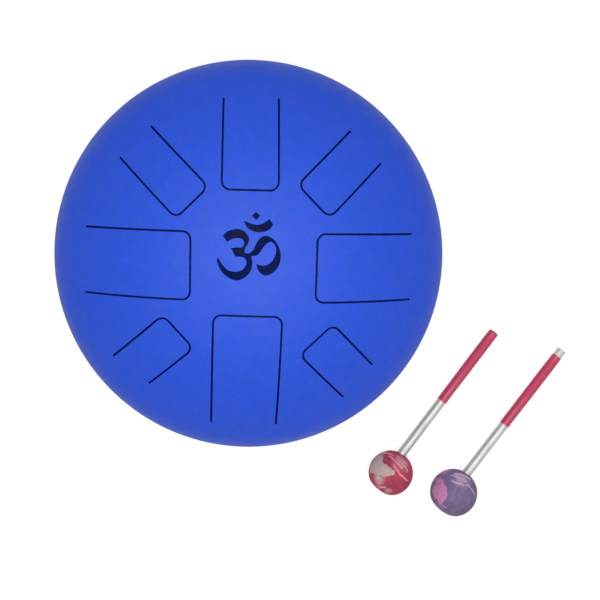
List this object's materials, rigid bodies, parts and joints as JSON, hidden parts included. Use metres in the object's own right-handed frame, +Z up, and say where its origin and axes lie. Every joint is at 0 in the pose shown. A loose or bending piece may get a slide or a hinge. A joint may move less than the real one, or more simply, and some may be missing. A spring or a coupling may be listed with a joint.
{
  "type": "steel tongue drum",
  "caption": "Steel tongue drum: a domed upper shell cut into sprung tongues with a figure-shaped sound hole, on a closed lower shell with rubber feet, with ball mallets beside it.",
  "frame": {"origin": "on the drum's axis, in the plane that the feet and the mallets rest on", "axes": "+Z up along the drum's axis, +Y away from the player, +X to the player's right, where the mallets lie"},
  "size_m": [0.3675, 0.3224, 0.146],
  "materials": {
    "drum_paint": "satin bright blue powder coat",
    "foot_rubber": "matt black rubber",
    "fastener_steel": "zinc-plated steel",
    "tube_aluminium": "satin drawn aluminium",
    "sleeve_red": "glossy rose-red shrink sleeve",
    "ball_rose": "marbled rose rubber, satin",
    "ball_violet": "marbled violet rubber, satin"
  },
  "bodies": {
    "drum": {"top_shell": "drum_paint", "bottom_shell": "drum_paint", "weld_seam": "drum_paint", "foot_1": "foot_rubber", "foot_2": "foot_rubber", "foot_3": "foot_rubber", "foot_screws": "fastener_steel", "foot_washers": "fastener_steel"},
    "tongue_1": {"tongue_1": "drum_paint"},
    "tongue_2": {"tongue_2": "drum_paint"},
    "tongue_3": {"tongue_3": "drum_paint"},
    "tongue_4": {"tongue_4": "drum_paint"},
    "tongue_5": {"tongue_5": "drum_paint"},
    "tongue_6": {"tongue_6": "drum_paint"},
    "tongue_7": {"tongue_7": "drum_paint"},
    "tongue_8": {"tongue_8": "drum_paint"},
    "mallet_1": {"mallet_1_tube": "tube_aluminium", "mallet_1_sleeve": "sleeve_red", "mallet_1_ball": "ball_rose"},
    "mallet_2": {"mallet_2_tube": "tube_aluminium", "mallet_2_sleeve": "sleeve_red", "mallet_2_ball": "ball_violet"}
  },
  "joints": [
    {"name": "tongue_1_flex", "type": "hinge", "parent": "drum", "child": "tongue_1", "pos_m": [-0.00275, -0.10218, 0.11112], "axis": [-0.9997, 0.0256, 0], "range_deg": [-0.6, 0.6], "stiffness_Nm_per_rad": 88},
    {"name": "tongue_2_flex", "type": "hinge", "parent": "drum", "child": "tongue_2", "pos_m": [-0.10181, -0.00053, 0.11142], "axis": [0.0073, 1, 0], "range_deg": [-0.6, 0.6], "stiffness_Nm_per_rad": 98},
    {"name": "tongue_3_flex", "type": "hinge", "parent": "drum", "child": "tongue_3", "pos_m": [0.09915, -0.00017, 0.11338], "axis": [0.0168, -0.9999, 0], "range_deg": [-0.6, 0.6], "stiffness_Nm_per_rad": 106},
    {"name": "tongue_4_flex", "type": "hinge", "parent": "drum", "child": "tongue_4", "pos_m": [-0.00276, 0.09977, 0.1129], "axis": [0.9998, 0.0187, 0], "range_deg": [-0.6, 0.6], "stiffness_Nm_per_rad": 96},
    {"name": "tongue_5_flex", "type": "hinge", "parent": "drum", "child": "tongue_5", "pos_m": [-0.07212, 0.07169, 0.11152], "axis": [0.6859, 0.7277, 0], "range_deg": [-0.6, 0.6], "stiffness_Nm_per_rad": 83},
    {"name": "tongue_6_flex", "type": "hinge", "parent": "drum", "child": "tongue_6", "pos_m": [0.068, 0.07289, 0.11299], "axis": [0.7145, -0.6997, 0], "range_deg": [-0.6, 0.6], "stiffness_Nm_per_rad": 90},
    {"name": "tongue_7_flex", "type": "hinge", "parent": "drum", "child": "tongue_7", "pos_m": [0.06866, -0.07331, 0.11243], "axis": [-0.6177, -0.7864, 0], "range_deg": [-0.6, 0.6], "stiffness_Nm_per_rad": 104},
    {"name": "tongue_8_flex", "type": "hinge", "parent": "drum", "child": "tongue_8", "pos_m": [-0.07344, -0.06848, 0.11246], "axis": [-0.8101, 0.5863, 0], "range_deg": [-0.6, 0.6], "stiffness_Nm_per_rad": 103},
    {"name": "mallet_1_lift", "type": "slide", "parent": "drum", "child": "mallet_1", "axis": [0, 0, 1], "range_m": [0, 0.2]},
    {"name": "mallet_2_lift", "type": "slide", "parent": "drum", "child": "mallet_2", "axis": [0, 0, 1], "range_m": [0, 0.2]}
  ]
}
